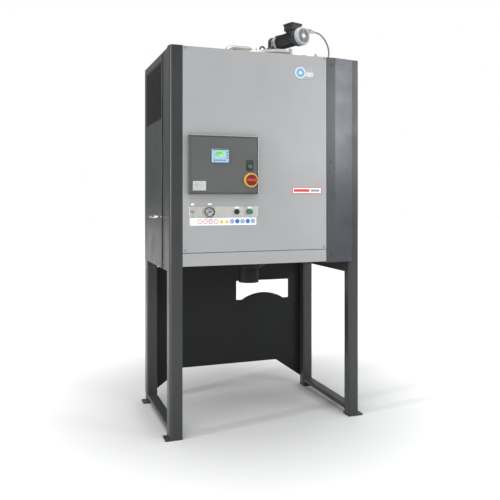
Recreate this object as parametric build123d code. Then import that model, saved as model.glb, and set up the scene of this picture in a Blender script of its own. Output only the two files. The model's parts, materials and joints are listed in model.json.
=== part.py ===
from build123d import *
import math
import os

# Solvent recovery unit: a sheet-metal cabinet on four tall legs, with a stirred boiler inside,
# a gearmotor on its roof and room for a residue container underneath.
# Origin: centre of the four anchor holes, on the floor. +X right, +Y back, +Z up. Millimetres.

# ---- driving dimensions ----
ANCHOR_X, ANCHOR_Y = 1146, 632          # spacing of the four floor anchors
ANCHOR_HOLE_R = 6
WIDTH, DEPTH, TOP = 1120, 716, 2061     # cabinet over its columns, and its height
TUBE, TUBE_WALL = 64, 3                 # square legs
FRONT_TUBE, FRONT_TUBE_R = 68, 22       # front left profile and its rounded corner
SHEET = 2                               # panel sheet
SEAM = 3                                # open joint between panels
RIGHT_SETBACK = 24                      # front right leg stands this far back
FLOOR_Z = 903                           # underside of the cabinet at the front
STRIP_TOP, PANEL_TOP = 971, 2058        # lower strip and main front panel
BOILER_X, BOILER_Y = 160, 0             # boiler axis
BOILER_R, BOILER_WALL = 225, 4
MOTOR_Z, MOTOR_TURN = 2196, 18          # motor axis height, and its turn from straight ahead

LEFT = -ANCHOR_X / 2 + 11
RIGHT = LEFT + WIDTH
FRONT = -ANCHOR_Y / 2 - 47
BACK = FRONT + DEPTH
PANEL_RIGHT = LEFT + 900                # light front panel's right edge
PANEL_LEFT = LEFT + FRONT_TUBE + 1

os.makedirs("parts", exist_ok=True)


# ---- helpers ----
def block(x0, x1, y0, y1, z0, z1):
    """A box between two corners."""
    size = Box(x1 - x0, y1 - y0, z1 - z0)
    return Pos((x0 + x1) / 2, (y0 + y1) / 2, (z0 + z1) / 2) * size


def rod(start, end, radius):
    """A round bar from one point to another."""
    a, b = Vector(*start), Vector(*end)
    plane = Plane(origin=a, z_dir=b - a)
    return plane * Cylinder(radius, (b - a).length, align=(Align.CENTER, Align.CENTER, Align.MIN))


def ring(start, end, outer, inner):
    """A round tube from one point to another."""
    return rod(start, end, outer) - rod(start, end, inner)


def turned(points, x=0, y=0):
    """A solid of revolution about a vertical axis, from (radius, height) points."""
    face = make_face(Plane.XZ * Polyline(*points, close=True))
    return Pos(x, y, 0) * revolve(face, Axis.Z)


def soften(shape, radius, axis=Axis.Z):
    """Rounds the edges that run along one axis."""
    return fillet(shape.edges().filter_by(axis), radius)


def slab(x0, x1, z0, z1, y_front, thick, corner):
    """A flat plate facing the front, with rounded corners and an eased front edge."""
    plate = soften(block(x0, x1, y_front, y_front + thick, z0, z1), corner, Axis.Y)
    face = plate.faces().sort_by(Axis.Y)[0]
    return chamfer(face.edges(), min(0.8, thick / 3))


def pan_front(x0, x1, z0, z1, lip):
    """A front sheet with its four edges folded back by lip."""
    outer = block(x0, x1, FRONT, FRONT + lip, z0, z1)
    inner = block(x0 + SHEET, x1 - SHEET, FRONT + SHEET, FRONT + lip + 1, z0 + SHEET, z1 - SHEET)
    return outer - inner


def save(name, shape):
    """Writes one node as STEP."""
    if isinstance(shape, (list, ShapeList)):
        shape = Compound(children=list(shape))
    shape.label = name
    export_step(shape, f"parts/{name}.step")


def screw(x, z, y=FRONT):
    """A pan-head screw on the front plane."""
    head = rod((x, y, z), (x, y - 3.4, z), 5.5)
    head = fillet(head.faces().sort_by(Axis.Y)[0].edges(), 2)
    return head - block(x - 0.7, x + 0.7, y - 3.5, y - 2, z - 4, z + 4)


# ---- legs and feet ----
def column(x0, x1, y0, y1, radius, base=8, top=TOP - 3):
    """A hollow leg with rounded corners and a welded cap."""
    outer = soften(block(x0, x1, y0, y1, base, top), radius)
    core = soften(block(x0 + TUBE_WALL, x1 - TUBE_WALL, y0 + TUBE_WALL, y1 - TUBE_WALL, base - 1, top - 4),
                  radius - TUBE_WALL)
    return outer - core


def front_left_column():
    x1, y1 = LEFT + FRONT_TUBE, FRONT + TUBE + 2
    outer = block(LEFT, x1, FRONT, y1, 8, TOP)
    edges = outer.edges().filter_by(Axis.Z)
    corner = edges.sort_by(lambda e: e.center().X + e.center().Y)
    outer = fillet(corner[0], FRONT_TUBE_R)
    inner = block(LEFT + TUBE_WALL, x1 - TUBE_WALL, FRONT + TUBE_WALL, y1 - TUBE_WALL, 7, TOP - 4)
    hollow = inner.edges().filter_by(Axis.Z).sort_by(lambda e: e.center().X + e.center().Y)
    inner = fillet(hollow[0], FRONT_TUBE_R - TUBE_WALL)
    return outer - inner


RIGHT_FRONT_Y = FRONT + RIGHT_SETBACK
REAR_Y = BACK - 2 - TUBE
LEG_RIGHT = RIGHT - TUBE


def rear_columns():
    """The two rear legs, just inside the side sheets."""
    return [column(x, x + TUBE, REAR_Y, REAR_Y + TUBE, 10, top=DOOR_Z1) for x in (LEFT + 3, LEG_RIGHT - 3)]


def foot_plate(x0, y0):
    """A floor plate with its anchor hole."""
    plate = block(x0, x0 + 92, y0, y0 + 74, 0, 8)
    plate = soften(plate, 4)
    hole_x = -ANCHOR_X / 2 if x0 < 0 else ANCHOR_X / 2
    hole_y = -ANCHOR_Y / 2 if y0 < 0 else ANCHOR_Y / 2
    return plate - Pos(hole_x, hole_y, 4) * Cylinder(ANCHOR_HOLE_R, 10)


def feet():
    right_x = RIGHT + 26 - 92
    return [foot_plate(LEFT - 22, FRONT), foot_plate(right_x, RIGHT_FRONT_Y - 4),
            foot_plate(LEFT - 22, BACK - 74), foot_plate(right_x, BACK - 74)]


def foot_rail(x0, y0):
    """A flat tube near the floor, from a front leg to the rear leg."""
    rail = soften(block(x0, x0 + 58, y0, REAR_Y, 28, 54), 5, Axis.Y)
    return rail


def frame_rails():
    """Two flat tubes near the floor, and four beams under the cabinet."""
    inner_left, inner_right = LEFT + 3, RIGHT - 3
    y0, y1 = RIGHT_FRONT_Y + TUBE, REAR_Y
    return [
        foot_rail(LEFT + 5, FRONT + 66),
        foot_rail(RIGHT - 63, RIGHT_FRONT_Y + TUBE),
        block(inner_left + 20, inner_left + 60, FRONT + 67, y1, 880, 900),
        block(inner_right - 54, inner_right, y0, y1, 831, 900),
        block(LEFT + FRONT_TUBE, RIGHT - TUBE, FRONT + 27, FRONT + 57, FLOOR_Z + 2, FLOOR_Z + 32),
        block(LEFT + 3 + TUBE, LEG_RIGHT - 3, REAR_Y + 20, BACK - 2, 860, 900),
    ]


# ---- cabinet panels ----
ENC_X0, ENC_X1, ENC_Z0, ENC_Z1 = LEFT + 97, LEFT + 483, 1283, 1594
PLATE_X0, PLATE_X1, PLATE_Z0, PLATE_Z1 = LEFT + 104, LEFT + 489, 1160, 1217


def front_panel():
    """The main front sheet, cut out for the control enclosure."""
    sheet = pan_front(PANEL_LEFT, PANEL_RIGHT, STRIP_TOP + SEAM, PANEL_TOP, 24)
    sheet -= block(ENC_X0 + 7, ENC_X1 - 7, FRONT - 1, FRONT + 5, ENC_Z0 + 7, ENC_Z1 - 7)
    for x, radius in ((SELECT_X, 11), (AIR_X, 11), (KNOB_X, 4.3)):
        sheet -= rod((x, FRONT - 1, GAUGE_Z), (x, FRONT + 5, GAUGE_Z), radius)
    return sheet


def right_corner_cover():
    """A bent sheet: flat strip, slanted cover over the right corner, and its folded ends."""
    x0, x1 = PANEL_RIGHT + SEAM, PANEL_RIGHT + 57
    x2, y2 = LEG_RIGHT + 20, RIGHT_FRONT_Y - SHEET - 0.5
    slope = Vector(x2 - x1, y2 - FRONT, 0).normalized()
    back = Vector(-slope.Y, slope.X, 0) * SHEET
    outline = Polyline(
        (x0, FRONT + 24), (x0, FRONT), (x1, FRONT), (x2, y2),
        (x2 + back.X, y2 + back.Y), (x1 + 0.2, FRONT + SHEET), (x0 + SHEET, FRONT + SHEET),
        (x0 + SHEET, FRONT + 24), close=True)
    wall = extrude(make_face(outline), PANEL_TOP - FLOOR_Z + 6)
    wall = Pos(0, 0, FLOOR_Z - 6) * wall
    top = Polyline((x0 + SHEET, FRONT + SHEET), (x1, FRONT + SHEET), (x2 - 22, y2 - 4), (x2 - 22, FRONT + 24),
                   (x0 + SHEET, FRONT + 24), close=True)
    flange = Pos(0, 0, PANEL_TOP - 14) * extrude(make_face(top), SHEET)
    return wall + flange


DOOR_Y0, DOOR_Y1, DOOR_Z0, DOOR_Z1 = FRONT + 184, BACK - 4, 878, 2055
GRILLE_Y0, GRILLE_Y1, GRILLE_Z0, GRILLE_Z1 = FRONT + 204, FRONT + 662, 1694, 2016


def pan_left(y0, y1, z0, z1, lip):
    """A sheet on the left side with folded edges."""
    outer = block(LEFT, LEFT + lip, y0, y1, z0, z1)
    inner = block(LEFT + SHEET, LEFT + lip + 1, y0 + SHEET, y1 - SHEET, z0 + SHEET, z1 - SHEET)
    return outer - inner


def left_strip():
    """The fixed sheet between the front left column and the side door, with a fold down it."""
    sheet = block(LEFT, LEFT + 20, FRONT + 67, DOOR_Y0 - 4, 878, DOOR_Z1)
    sheet -= block(LEFT + SHEET, LEFT + 21, FRONT + 69, DOOR_Y0 - 6, 877, DOOR_Z1 + 1)
    groove = block(LEFT - 1, LEFT + 1, FRONT + 127, FRONT + 130, 877, DOOR_Z1 + 1)
    return sheet - groove


HINGE_X, HINGE_Y, HINGE_R, HINGE_PIN_R = LEFT - 3, DOOR_Y0 - 2, 3.2, 1.5
HINGE_Z0, HINGE_STEP, HINGE_GAP = 881, 232, 0.6


def hinge_span(i):
    """The lower and upper end of one knuckle of the continuous hinge."""
    return HINGE_Z0 + i * HINGE_STEP, HINGE_Z0 + (i + 1) * HINGE_STEP - HINGE_GAP


def side_door():
    """The left door: a folded sheet with a grille opening and its hinge knuckles."""
    sheet = pan_left(DOOR_Y0, DOOR_Y1, DOOR_Z0, DOOR_Z1, 3)
    sheet -= block(LEFT - 1, LEFT + 4, GRILLE_Y0, GRILLE_Y1, GRILLE_Z0, GRILLE_Z1)
    for i in (1, 3):
        z0, z1 = hinge_span(i)
        sheet += block(HINGE_X, LEFT, HINGE_Y + 1, DOOR_Y0 + 8, z0, z1)
        sheet += rod((HINGE_X, HINGE_Y, z0), (HINGE_X, HINGE_Y, z1), HINGE_R)
        sheet -= rod((HINGE_X, HINGE_Y, z0 - 1), (HINGE_X, HINGE_Y, z1 + 1), HINGE_PIN_R + 0.05)
    return sheet


def side_hinges():
    """The fixed knuckles of the long hinge, joined by its pin."""
    fixed = rod((HINGE_X, HINGE_Y, HINGE_Z0 + 1), (HINGE_X, HINGE_Y, hinge_span(4)[1] - 1), HINGE_PIN_R)
    for i in (0, 2, 4):
        z0, z1 = hinge_span(i)
        fixed += rod((HINGE_X, HINGE_Y, z0), (HINGE_X, HINGE_Y, z1), HINGE_R)
        fixed += block(HINGE_X, LEFT, HINGE_Y - 9, HINGE_Y - 1, z0, z1)
    return [fixed]


def side_grille():
    """Upright slats in a thin frame, filling the door's opening."""
    gap = 0.5
    y0, y1, z0, z1 = GRILLE_Y0 + gap, GRILLE_Y1 - gap, GRILLE_Z0 + gap, GRILLE_Z1 - gap
    plate = block(LEFT + 0.5, LEFT + 2.5, y0, y1, z0, z1)
    pitch, slot = 14, 8
    count = int((y1 - y0 - 16) // pitch)
    start = (y0 + y1) / 2 - (count - 1) * pitch / 2
    for i in range(count):
        middle = start + i * pitch
        plate -= block(LEFT, LEFT + 3, middle - slot / 2, middle + slot / 2, z0 + 10, z1 - 10)
    return plate


HANDLE_Z = 1157


def side_handle():
    """A round bar pull on two stand-offs."""
    y0, y1, out = FRONT + 213, FRONT + 373, LEFT - 34
    path = FilletPolyline((LEFT, y0, HANDLE_Z), (out, y0, HANDLE_Z), (out, y1, HANDLE_Z),
                          (LEFT, y1, HANDLE_Z), radius=14)
    profile = Plane(origin=(LEFT, y0, HANDLE_Z), z_dir=(-1, 0, 0)) * Circle(6)
    bar = sweep(profile, path=path)
    return bar + rod((LEFT - 3, y0, HANDLE_Z), (LEFT, y0, HANDLE_Z), 11) \
        + rod((LEFT - 3, y1, HANDLE_Z), (LEFT, y1, HANDLE_Z), 11)


def right_side_panel():
    """The plain right side sheet."""
    return block(RIGHT - SHEET, RIGHT, RIGHT_FRONT_Y + TUBE + 2, BACK - 4, 830, DOOR_Z1)


ROOF_Z = 2036


def roof():
    """The roof sheet, notched for the columns and cut out round the boiler and the cable."""
    sheet = block(LEFT + 21, RIGHT - 4, FRONT + 26, BACK - 6, ROOF_Z, ROOF_Z + SHEET)
    for x0, x1, y0, y1 in (
            (LEFT, LEFT + 70, FRONT, FRONT + 68), (RIGHT - 66, RIGHT, FRONT, RIGHT_FRONT_Y + TUBE + 2),
            (LEFT, LEFT + 69, REAR_Y - 2, BACK), (RIGHT - 69, RIGHT, REAR_Y - 2, BACK)):
        sheet -= block(x0, x1, y0, y1, ROOF_Z - 1, ROOF_Z + 3)
    sheet -= Pos(BOILER_X, BOILER_Y, ROOF_Z) * Cylinder(BOILER_R + BOILER_WALL + 4, 10)
    sheet -= Pos(PIPE_X, PIPE_Y, ROOF_Z) * Cylinder(PIPE_R + 1, 10)
    return sheet - Pos(CABLE_IN.X, CABLE_IN.Y, ROOF_Z) * Cylinder(11, 10)


TRAY_Z = FLOOR_Z - SHEET
CHUTE_SLOT_X0, CHUTE_SLOT_X1, CHUTE_SLOT_HALF = -68, 206, 66


def cabinet_floor():
    """The floor tray over the beams, with a slot for the sloping chute."""
    tray = block(LEFT + 70, RIGHT - 66, FRONT + 60, REAR_Y - 3, TRAY_Z, TRAY_Z + SHEET)
    slot = block(CHUTE_SLOT_X0, CHUTE_SLOT_X1, -CHUTE_SLOT_HALF, CHUTE_SLOT_HALF, TRAY_Z - 1, FLOOR_Z + 1)
    return tray - soften(slot, CHUTE_SLOT_HALF - 6)


def rear_upper_panel():
    return block(LEFT + 3, RIGHT - 3, BACK - SHEET, BACK, 832, DOOR_Z1)


WINDOW_X0, WINDOW_X1, WINDOW_Z0, WINDOW_Z1 = LEFT + 600, LEFT + 967, 592, 716


def rear_lower_panel():
    """The sheet between the rear legs: slanted lower corners, and a window with an arched sill."""
    outline = Polyline(
        (LEFT + 3, 828), (LEFT + 3, 56), (LEFT + 62, 56), (LEFT + 238, 180), (LEFT + 879, 180),
        (RIGHT - 62, 56), (RIGHT - 3, 56), (RIGHT - 3, 828), close=True)
    sheet = extrude(Plane.XZ * make_face(outline), SHEET / 2, both=True)
    sheet = Pos(0, BACK - 1, 0) * sheet
    window = soften(block(WINDOW_X0, WINDOW_X1, BACK - 10, BACK + 10, WINDOW_Z0, WINDOW_Z1), 6, Axis.Y)
    half, rise = (WINDOW_X1 - WINDOW_X0) / 2 - 37, 43
    radius = (half**2 + rise**2) / (2 * rise)
    middle = (WINDOW_X0 + WINDOW_X1) / 2
    arch_z = WINDOW_Z0 + rise - radius
    arch = rod((middle, BACK - 10, arch_z), (middle, BACK + 10, arch_z), radius)
    return sheet - (window - arch)


def panel_screws():
    """Screws that hold the front panels and the corner cover."""
    xs = (PANEL_LEFT + 12, PANEL_RIGHT - 15)
    spots = [(x, z) for x in xs for z in (PANEL_TOP - 8, STRIP_TOP + 17)]
    heads = [screw(x, z) for x, z in spots]
    for z in (PANEL_TOP - 40, 1465, FLOOR_Z + 40):
        heads.append(screw(PANEL_RIGHT + 30, z))
    side = rod((LEFT, FRONT + 140, 918), (LEFT - 3, FRONT + 140, 918), 5.5)
    return heads + [side]


# ---- control enclosure ----
ENC_DEPTH, ENC_DOOR = 150, 19
DOOR_FACE = FRONT - 2 - ENC_DOOR
ENC_AXIS_X, ENC_AXIS_Y = ENC_X0 + 5, FRONT - 12
ENC_HINGES = (ENC_Z0 + 55, ENC_Z1 - 75)
SWITCH_X, SWITCH_Z = LEFT + 440, 1358
START_X, START_Z = LEFT + 432, 1430
HMI = (LEFT + 220, LEFT + 313, 1450, 1522)
KNUCKLE_R, ENC_PIN_R = 2.2, 1.3


def enclosure_body():
    """An open steel box set into the front panel."""
    outer = block(ENC_X0 + 8, ENC_X1 - 8, FRONT - 1, FRONT + ENC_DEPTH, ENC_Z0 + 8, ENC_Z1 - 8)
    inner = block(ENC_X0 + 10, ENC_X1 - 10, FRONT - 3, FRONT + ENC_DEPTH - 2, ENC_Z0 + 10, ENC_Z1 - 10)
    rail = block(ENC_X0 + 40, ENC_X1 - 60, FRONT + ENC_DEPTH - 8, FRONT + ENC_DEPTH - 2, 1420, 1455)
    return outer - inner + rail


def enclosure_door():
    """The door tray with its openings and hinge knuckles."""
    tray = slab(ENC_X0, ENC_X1, ENC_Z0, ENC_Z1, DOOR_FACE, ENC_DOOR, 6)
    tray -= block(ENC_X0 + 3, ENC_X1 - 3, DOOR_FACE + 3, FRONT, ENC_Z0 + 3, ENC_Z1 - 3)
    x0, x1, z0, z1 = HMI
    tray -= block(x0 + 5, x1 - 5, DOOR_FACE - 1, FRONT, z0 + 5, z1 - 5)
    tray -= rod((SWITCH_X, DOOR_FACE - 1, SWITCH_Z), (SWITCH_X, FRONT, SWITCH_Z), 11)
    tray -= rod((START_X, DOOR_FACE - 1, START_Z), (START_X, FRONT, START_Z), 11.2)
    for z in ENC_HINGES:
        tray -= block(ENC_X0 - 1, ENC_X0 + 3.5, DOOR_FACE + 5, FRONT, z - 13, z + 33)
        lug = rod((ENC_AXIS_X, ENC_AXIS_Y, z), (ENC_AXIS_X, ENC_AXIS_Y, z + 20), KNUCKLE_R)
        lug += block(ENC_AXIS_X - KNUCKLE_R, ENC_AXIS_X + KNUCKLE_R, DOOR_FACE + 2, ENC_AXIS_Y, z, z + 20)
        tray += lug
        tray -= rod((ENC_AXIS_X, ENC_AXIS_Y, z - 5), (ENC_AXIS_X, ENC_AXIS_Y, z + 25), ENC_PIN_R + 0.05)
    return tray


def enclosure_hinges():
    """The fixed lugs and pins of the control door, hidden behind its edge."""
    parts = []
    for z in ENC_HINGES:
        lugs = rod((ENC_AXIS_X, ENC_AXIS_Y, z - 9), (ENC_AXIS_X, ENC_AXIS_Y, z + 29), ENC_PIN_R)
        for a, b in ((z - 10, z - 0.6), (z + 20.6, z + 30)):
            lugs += rod((ENC_AXIS_X, ENC_AXIS_Y, a), (ENC_AXIS_X, ENC_AXIS_Y, b), KNUCKLE_R)
            lugs += block(ENC_AXIS_X - KNUCKLE_R, ENC_AXIS_X + KNUCKLE_R, ENC_AXIS_Y, FRONT, a, b)
        parts.append(lugs)
    return parts


def operator_panel():
    """The operator panel: bezel, recessed screen and the case behind the door."""
    x0, x1, z0, z1 = HMI
    frame = slab(x0, x1, z0, z1, DOOR_FACE - 6, 6, 5)
    frame += block(x0 + 6, x1 - 6, DOOR_FACE, DOOR_FACE + 28, z0 + 6, z1 - 6)
    return frame - block(x0 + 14, x1 - 20, DOOR_FACE - 7, DOOR_FACE - 4.5, z1 - 40, z1 - 12)


def start_button():
    """A round push-button cap on its stem."""
    cap = rod((START_X, DOOR_FACE - 13, START_Z), (START_X, DOOR_FACE - 8, START_Z), 9.5)
    cap = fillet(cap.faces().sort_by(Axis.Y)[0].edges(), 1.5)
    return cap + rod((START_X, DOOR_FACE - 9, START_Z), (START_X, DOOR_FACE + 12, START_Z), 7)


def start_holder():
    """The button's collar and its legend plate."""
    plate = slab(START_X - 21, START_X + 21, START_Z - 22, START_Z + 35, DOOR_FACE - 2.5, 2.5, 4)
    collar = rod((START_X, DOOR_FACE - 9, START_Z), (START_X, DOOR_FACE, START_Z), 14.5)
    collar = chamfer(collar.faces().sort_by(Axis.Y)[0].edges(), 1.5)
    barrel = rod((START_X, DOOR_FACE, START_Z), (START_X, DOOR_FACE + 22, START_Z), 11)
    body = plate + collar + barrel
    body -= rod((START_X, DOOR_FACE - 20, START_Z), (START_X, DOOR_FACE - 3, START_Z), 10)
    return body - rod((START_X, DOOR_FACE - 20, START_Z), (START_X, DOOR_FACE + 17, START_Z), 7.3)


def switch_ring():
    """The yellow collar round the main switch."""
    ring_body = slab(SWITCH_X - 39, SWITCH_X + 39, SWITCH_Z - 38, SWITCH_Z + 38, DOOR_FACE - 4, 4, 37)
    ring_body += rod((SWITCH_X, DOOR_FACE - 8, SWITCH_Z), (SWITCH_X, DOOR_FACE, SWITCH_Z), 34)
    ring_body += rod((SWITCH_X, DOOR_FACE, SWITCH_Z), (SWITCH_X, DOOR_FACE + 24, SWITCH_Z), 10.8)
    return ring_body - rod((SWITCH_X, DOOR_FACE - 9, SWITCH_Z), (SWITCH_X, DOOR_FACE + 20, SWITCH_Z), 5.05)


def switch_handle():
    """The red rotary handle: a boss with a grip bar across it."""
    y = DOOR_FACE - 8.4
    boss = rod((SWITCH_X, y - 8, SWITCH_Z), (SWITCH_X, y, SWITCH_Z), 30)
    grip = block(SWITCH_X - 29, SWITCH_X + 29, y - 24, y - 2, SWITCH_Z - 7.5, SWITCH_Z + 7.5)
    grip = soften(grip, 6, Axis.Y)
    grip = chamfer(grip.faces().sort_by(Axis.Y)[0].edges(), 2)
    return boss + grip + rod((SWITCH_X, y - 2, SWITCH_Z), (SWITCH_X, DOOR_FACE + 19, SWITCH_Z), 5)


# ---- pneumatic plate ----
PNEU_FACE = FRONT - 2
GAUGE_X, GAUGE_Z, GAUGE_R = LEFT + 214, 1188, 27
KNOB_X, SELECT_X, AIR_X = LEFT + 122, LEFT + 366, LEFT + 439


def pneumatic_plate():
    """The stainless plate that carries the air controls."""
    plate = slab(PLATE_X0, PLATE_X1, PLATE_Z0, PLATE_Z1, PNEU_FACE, 2, 3)
    for x, r in ((SELECT_X, 11), (AIR_X, 11)):
        plate -= rod((x, PNEU_FACE - 1, GAUGE_Z), (x, FRONT + 1, GAUGE_Z), r)
    return plate - rod((KNOB_X, PNEU_FACE - 1, GAUGE_Z), (KNOB_X, FRONT + 1, GAUGE_Z), 4.3)


def gauge_case():
    """The gauge's cup, rim and dial."""
    y = PNEU_FACE
    cup = rod((GAUGE_X, y - 15, GAUGE_Z), (GAUGE_X, y, GAUGE_Z), GAUGE_R)
    cup = fillet(cup.faces().sort_by(Axis.Y)[0].edges(), 2)
    cup -= rod((GAUGE_X, y - 16, GAUGE_Z), (GAUGE_X, y - 6, GAUGE_Z), GAUGE_R - 3)
    return cup + rod((GAUGE_X, y - 9.4, GAUGE_Z), (GAUGE_X, y - 5, GAUGE_Z), 1.2)


def gauge_lens():
    return rod((GAUGE_X, PNEU_FACE - 14, GAUGE_Z), (GAUGE_X, PNEU_FACE - 12.5, GAUGE_Z), GAUGE_R - 3)


def gauge_pointer():
    """The needle at zero, down to the left."""
    y0, y1 = PNEU_FACE - 9, PNEU_FACE - 8
    hub = rod((GAUGE_X, y0 - 0.3, GAUGE_Z), (GAUGE_X, y1, GAUGE_Z), 3.5)
    needle = Polyline((-1.6, -6), (1.6, -6), (0.4, 20), (-0.4, 20), close=True)
    blade = Pos(GAUGE_X, y1, GAUGE_Z) * Rot(0, -135, 0) * extrude(Plane.XZ * make_face(needle), y1 - y0)
    return hub + blade - rod((GAUGE_X, y0 - 2, GAUGE_Z), (GAUGE_X, y1 + 1, GAUGE_Z), 1.26)


def flow_knob():
    """A small knurled brass adjusting screw."""
    y = PNEU_FACE
    head = rod((KNOB_X, y - 13, GAUGE_Z), (KNOB_X, y - 1, GAUGE_Z), 8)
    for i in range(12):
        a = math.radians(30 * i)
        x, z = KNOB_X + 8.3 * math.cos(a), GAUGE_Z + 8.3 * math.sin(a)
        head -= rod((x, y - 14, z), (x, y, z), 1)
    return head + rod((KNOB_X, y - 1, GAUGE_Z), (KNOB_X, FRONT + 22, GAUGE_Z), 4.2)


def air_collars():
    """Black collars behind the panel's selector and button."""
    parts = []
    for x in (SELECT_X, AIR_X):
        collar = rod((x, PNEU_FACE - 7, GAUGE_Z), (x, PNEU_FACE, GAUGE_Z), 14.5)
        collar = chamfer(collar.faces().sort_by(Axis.Y)[0].edges(), 1.5)
        collar += rod((x, PNEU_FACE, GAUGE_Z), (x, FRONT + 30, GAUGE_Z), 10.8)
        collar -= rod((x, PNEU_FACE - 8, GAUGE_Z), (x, PNEU_FACE - 1, GAUGE_Z), 10.4)
        parts.append(collar - rod((x, PNEU_FACE - 2, GAUGE_Z), (x, FRONT + 25, GAUGE_Z), 5.06))
    return parts


def air_selector():
    """A black selector with a raised grip."""
    y = PNEU_FACE
    disc = rod((SELECT_X, y - 9, GAUGE_Z), (SELECT_X, y - 1.4, GAUGE_Z), 10.2)
    grip = block(SELECT_X - 3.5, SELECT_X + 3.5, y - 20, y - 8, GAUGE_Z - 13, GAUGE_Z + 13)
    grip = soften(grip, 2.5, Axis.Y)
    return disc + grip + rod((SELECT_X, y - 2, GAUGE_Z), (SELECT_X, FRONT + 24, GAUGE_Z), 5)


def air_button():
    """A green push-button cap on its stem."""
    y = PNEU_FACE
    cap = rod((AIR_X, y - 17, GAUGE_Z), (AIR_X, y - 11.5, GAUGE_Z), 14)
    cap = fillet(cap.faces().sort_by(Axis.Y)[0].edges(), 1.5)
    return cap + rod((AIR_X, y - 12, GAUGE_Z), (AIR_X, FRONT + 19, GAUGE_Z), 4.9)


LABELS = (                              # blank labels: centre x, centre z, width, height, corner
    (LEFT + 292.5, 1137, 371, 40, 1.5),
    (LEFT + 779.5, 1303.5, 179, 37, 2),
    (LEFT + 765, 1958, 118, 68, 30),
    (KNOB_X + 1, 1229, 16, 9, 1),
    (GAUGE_X + 2, 1229, 22, 9, 1))


def blank_labels():
    """Blank labels on the front sheet, and two small ones over the air controls."""
    plates = []
    for x, z, w, h, r in LABELS:
        plates.append(slab(x - w / 2, x + w / 2, z - h / 2, z + h / 2, FRONT - 0.8, 0.8, r))
    for x in (SELECT_X, AIR_X):
        plates.append(slab(x - 11, x + 11, GAUGE_Z + 17, GAUGE_Z + 27, PNEU_FACE - 0.8, 0.8, 1))
    return plates


# ---- boiler ----
FLANGE_Z, LID_Z = 2078, 2092
FLANGE_R, WRAP_R = 270, 275
CONE_Z, NOZZLE_Z = 1210, 1112
NOZZLE_R = 50
VALVE_Z0, VALVE_Z1 = 1012, 1064
SPOUT_R, SPOUT_END, SPIGOT = 60, 757, 70
NECK_X, PIPE_X, PIPE_Y, PIPE_Z, PIPE_R = -15, -160, -75, 2132, 20


def boiler_vessel():
    """The pot: flange, wall, cone and discharge nozzle."""
    r, w = BOILER_R, BOILER_WALL
    return turned([
        (FLANGE_R, FLANGE_Z), (FLANGE_R, LID_Z), (r, LID_Z), (r, CONE_Z), (NOZZLE_R, NOZZLE_Z),
        (NOZZLE_R, VALVE_Z1 + 1), (82, VALVE_Z1 + 1), (82, VALVE_Z1 + 13), (NOZZLE_R + w, VALVE_Z1 + 13),
        (NOZZLE_R + w, NOZZLE_Z - 2), (r + w, CONE_Z - 2), (r + w, FLANGE_Z)], BOILER_X, BOILER_Y)


def oil_jacket():
    """The heating oil jacket round the pot."""
    inner = BOILER_R + BOILER_WALL
    return turned([
        (inner, 1250), (262, 1250), (262, 1850), (inner, 1850), (inner, 1847), (259, 1847),
        (259, 1253), (inner, 1253)], BOILER_X, BOILER_Y)


def insulation():
    """The mineral wool wrap, with its tin skin."""
    return turned([(263, 1235), (WRAP_R, 1235), (WRAP_R, 2028), (230, 2028), (230, 1852), (263, 1852)],
                  BOILER_X, BOILER_Y)


def heaters():
    """Three electric heating rods in the oil, with their heads below the jacket."""
    rods = []
    for i in range(3):
        a = math.radians(30 + 120 * i)
        x, y = BOILER_X + 244 * math.cos(a), BOILER_Y + 244 * math.sin(a)
        rods.append(rod((x, y, 1256), (x, y, 1780), 8))
    return rods


def boiler_lid():
    """A dished lid with a raised hub and the vapour outlet's neck."""
    dome = turned([
        (28, LID_Z), (FLANGE_R, LID_Z), (FLANGE_R, LID_Z + 15), (236, LID_Z + 15), (150, LID_Z + 17),
        (66, LID_Z + 26), (66, LID_Z + 36), (28, LID_Z + 36)], BOILER_X, BOILER_Y)
    return dome - Pos(NECK_X, PIPE_Y, LID_Z) * Cylinder(PIPE_R + 1, 80)


CLAMPS = 8


def lid_clamps():
    """Swing bolts round the rim, each with its nut and washer."""
    parts = []
    for i in range(CLAMPS):
        spot = Pos(BOILER_X, BOILER_Y, 0) * Rot(0, 0, i * 360 / CLAMPS) * Pos(FLANGE_R - 12, 0, 0)
        bar = block(-12, 13, -8, 8, LID_Z + 15.2, LID_Z + 19)
        hook = block(12.4, 17, -8, 8, FLANGE_Z - 8, LID_Z + 19)
        toe = block(3, 17, -8, 8, FLANGE_Z - 8, FLANGE_Z - 0.2)
        nut = Pos(0, 0, LID_Z + 21) * extrude(RegularPolygon(7, 6), 3, both=True)
        parts.append(spot * (bar + hook + toe + nut))
    return parts


EYE_X, EYE_Y = LEFT + 612, FRONT + 262


def lifting_eye():
    """A forged lifting eye on the lid."""
    z = LID_Z + 23
    foot = rod((EYE_X, EYE_Y, z), (EYE_X, EYE_Y, z + 9), 14)
    loop = Pos(EYE_X, EYE_Y, z + 23) * Rot(90, 0, 20) * Torus(14, 5)
    return foot + loop


def seal_housing():
    """The pedestal with the shaft seal and bearing under the gearbox."""
    z = LID_Z + 36
    return turned([(20.05, z), (62, z), (62, z + 8), (40, z + 12), (40, GEAR_BASE), (20.05, GEAR_BASE)],
                  BOILER_X, BOILER_Y)


SCRAPER_BOTTOM = CONE_Z + 22
GEAR_BASE = 2158


def scraper_shaft():
    """The stirrer: shaft, arms and the bars that hold the blades."""
    shaft = rod((BOILER_X, BOILER_Y, 1150), (BOILER_X, BOILER_Y, GEAR_BASE + 8), 20)
    for side in (1, -1):
        x = BOILER_X + side * 208
        shaft += block(min(BOILER_X, x), max(BOILER_X, x), -8, 8, 1290, 1306)
        shaft += block(min(BOILER_X, x), max(BOILER_X, x), -8, 8, 1700, 1716)
        shaft += block(x - 6, x + 6, -12, 12, SCRAPER_BOTTOM, 1760)
    return shaft


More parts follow.
